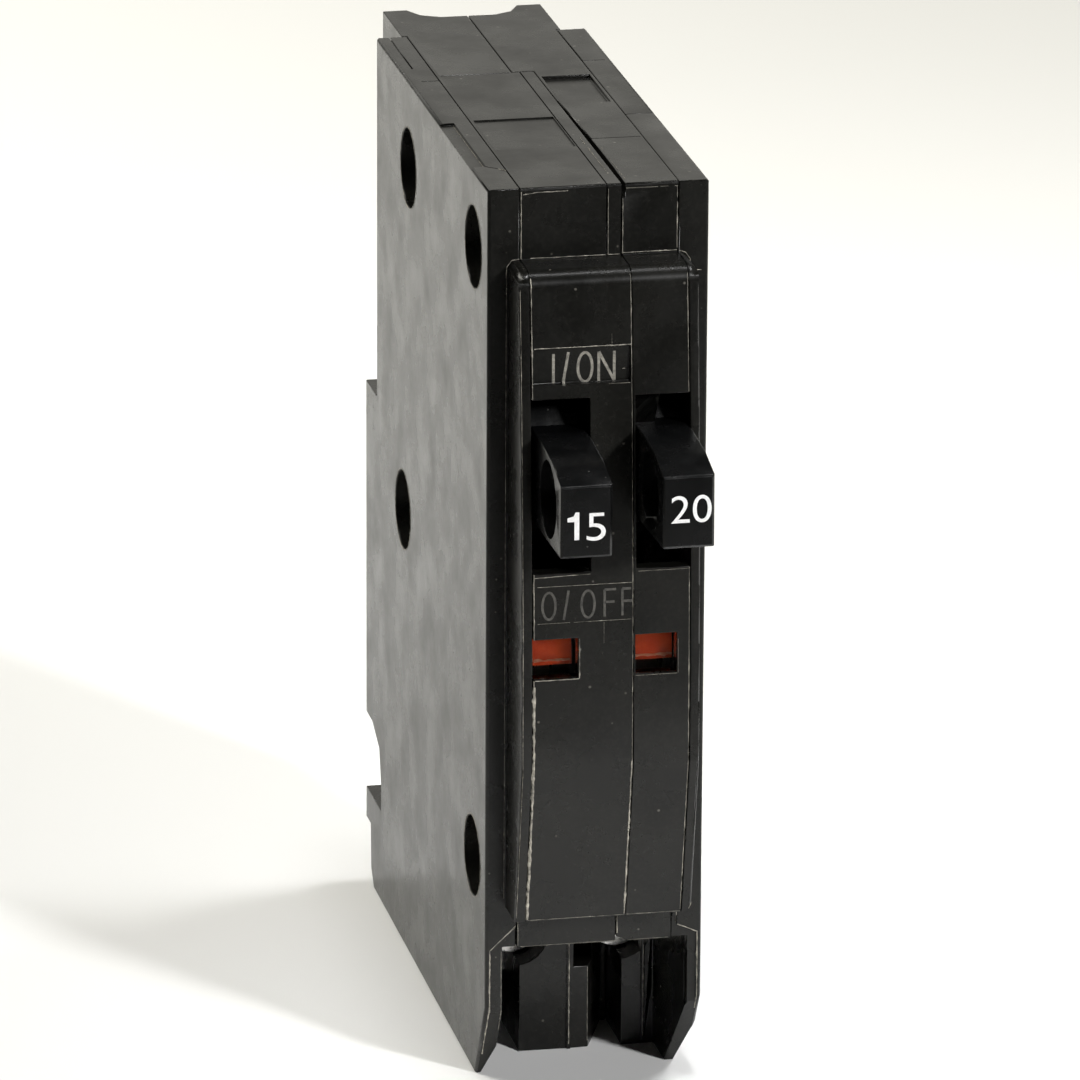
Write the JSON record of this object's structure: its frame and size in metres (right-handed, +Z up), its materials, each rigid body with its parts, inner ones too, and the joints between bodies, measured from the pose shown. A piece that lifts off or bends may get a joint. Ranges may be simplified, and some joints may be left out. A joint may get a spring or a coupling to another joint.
{
  "type": "tandem plug-in circuit breaker",
  "caption": "Narrow moulded plug-in circuit breaker holding separate toggles side by side, with trip windows, a line jaw at the back, a rail hook and screw terminals at the foot.",
  "frame": {"origin": "middle of the bottom of the breaker's box, handles included", "axes": "+Z up along the case's height, handles facing -Y, line jaw facing +Y, X across the thin width"},
  "size_m": [0.0186, 0.0743, 0.079],
  "materials": {
    "case": "semi-matt moulded thermoset, fine mould texture",
    "handle": "satin moulded nylon",
    "rivet": "plated steel",
    "jaw_copper": "tin-plated copper alloy",
    "copper": "bare copper",
    "silver": "silver alloy contact",
    "spring_steel": "spring steel",
    "steel": "plated steel",
    "screw": "bright nickel plate",
    "terminal": "plated steel",
    "flag": "moulded orange-red plastic",
    "lens": "clear polycarbonate",
    "fibre": "vulcanised fibre",
    "bimetal": "rolled bimetal strip",
    "brass": "bare brass"
  },
  "bodies": {
    "case": {"left_cover": "case", "pole_a_case": "case", "pole_b_case": "case", "right_cover": "case", "case_rivets": "rivet", "line_jaw": "jaw_copper", "jaw_spring": "spring_steel", "line_strap": "copper", "fixed_contact_a": "silver", "arc_liner_a": "fibre", "window_lens_a": "lens", "pivot_pins_a": "steel", "magnet_yoke_a": "steel", "bimetal_a": "bimetal", "operating_spring_a": "spring_steel", "flexible_braid_a": "copper", "load_terminal_a": "terminal", "calibration_screw_a": "brass", "fixed_contact_b": "silver", "arc_liner_b": "fibre", "window_lens_b": "lens", "pivot_pins_b": "steel", "magnet_yoke_b": "steel", "bimetal_b": "bimetal", "operating_spring_b": "spring_steel", "flexible_braid_b": "copper", "load_terminal_b": "terminal", "calibration_screw_b": "brass"},
    "handle_a": {"handle_a": "handle"},
    "contact_arm_a": {"contact_arm_a": "copper", "moving_contact_a": "silver"},
    "trip_lever_a": {"trip_lever_a": "steel"},
    "trip_flag_a": {"trip_flag_a": "flag"},
    "armature_a": {"armature_a": "steel"},
    "pressure_plate_a": {"pressure_plate_a": "terminal"},
    "terminal_screw_a": {"terminal_screw_a": "screw"},
    "handle_b": {"handle_b": "handle"},
    "contact_arm_b": {"contact_arm_b": "copper", "moving_contact_b": "silver"},
    "trip_lever_b": {"trip_lever_b": "steel"},
    "trip_flag_b": {"trip_flag_b": "flag"},
    "armature_b": {"armature_b": "steel"},
    "pressure_plate_b": {"pressure_plate_b": "terminal"},
    "terminal_screw_b": {"terminal_screw_b": "screw"}
  },
  "joints": [
    {"name": "handle_a", "type": "hinge", "parent": "case", "child": "handle_a", "pos_m": [-0.00409, -0.0166, 0.0554], "axis": [-1, 0, 0], "range_deg": [-18, 13]},
    {"name": "contact_arm_a", "type": "hinge", "parent": "case", "child": "contact_arm_a", "pos_m": [-0.00409, -0.0071, 0.058], "axis": [1, 0, 0], "range_deg": [-16.62, 12.01], "deforming": ["operating_spring_a", "flexible_braid_a"]},
    {"name": "trip_lever_a", "type": "hinge", "parent": "case", "child": "trip_lever_a", "pos_m": [-0.00409, 0.0099, 0.047], "axis": [1, 0, 0], "range_deg": [0, 10]},
    {"name": "trip_flag_a", "type": "hinge", "parent": "case", "child": "trip_flag_a", "pos_m": [-0.00409, -0.0136, 0.039], "axis": [1, 0, 0], "range_deg": [-0.01, 23.01]},
    {"name": "armature_a", "type": "hinge", "parent": "case", "child": "armature_a", "pos_m": [-0.00409, -0.0032, 0.0385], "axis": [1, 0, 0], "range_deg": [0, 3], "stiffness_Nm_per_rad": 0.002},
    {"name": "clamp_a", "type": "slide", "parent": "case", "child": "pressure_plate_a", "axis": [0, 1, 0], "range_m": [0, 0.0022]},
    {"name": "terminal_screw_a", "type": "hinge", "parent": "pressure_plate_a", "child": "terminal_screw_a", "pos_m": [-0.00475, -0.0101, 0.0105], "axis": [0, 1, 0], "range_deg": [-1, 991]},
    {"name": "handle_b", "type": "hinge", "parent": "case", "child": "handle_b", "pos_m": [0.00442, -0.0166, 0.0554], "axis": [-1, 0, 0], "range_deg": [-19, 12]},
    {"name": "contact_arm_b", "type": "hinge", "parent": "case", "child": "contact_arm_b", "pos_m": [0.00442, -0.0071, 0.058], "axis": [1, 0, 0], "range_deg": [-17.55, 11.09], "deforming": ["operating_spring_b", "flexible_braid_b"]},
    {"name": "trip_lever_b", "type": "hinge", "parent": "case", "child": "trip_lever_b", "pos_m": [0.00442, 0.0099, 0.047], "axis": [1, 0, 0], "range_deg": [0, 10]},
    {"name": "trip_flag_b", "type": "hinge", "parent": "case", "child": "trip_flag_b", "pos_m": [0.00442, -0.0136, 0.039], "axis": [1, 0, 0], "range_deg": [-0.01, 23.01]},
    {"name": "armature_b", "type": "hinge", "parent": "case", "child": "armature_b", "pos_m": [0.00442, -0.0032, 0.0385], "axis": [1, 0, 0], "range_deg": [0, 3], "stiffness_Nm_per_rad": 0.002},
    {"name": "clamp_b", "type": "slide", "parent": "case", "child": "pressure_plate_b", "axis": [0, 1, 0], "range_m": [0, 0.0022]},
    {"name": "terminal_screw_b", "type": "hinge", "parent": "pressure_plate_b", "child": "terminal_screw_b", "pos_m": [0.00435, -0.0101, 0.0105], "axis": [0, 1, 0], "range_deg": [-1, 991]}
  ],
  "couplings": [
    {"joint": "contact_arm_a", "follows": "handle_a", "ratio": 0.92308},
    {"joint": "trip_flag_a", "follows": "trip_lever_a", "ratio": 2.3},
    {"joint": "terminal_screw_a", "follows": "clamp_a", "rad_per_m": 7854},
    {"joint": "contact_arm_b", "follows": "handle_b", "ratio": 0.92308},
    {"joint": "trip_flag_b", "follows": "trip_lever_b", "ratio": 2.3},
    {"joint": "terminal_screw_b", "follows": "clamp_b", "rad_per_m": 7854}
  ]
}
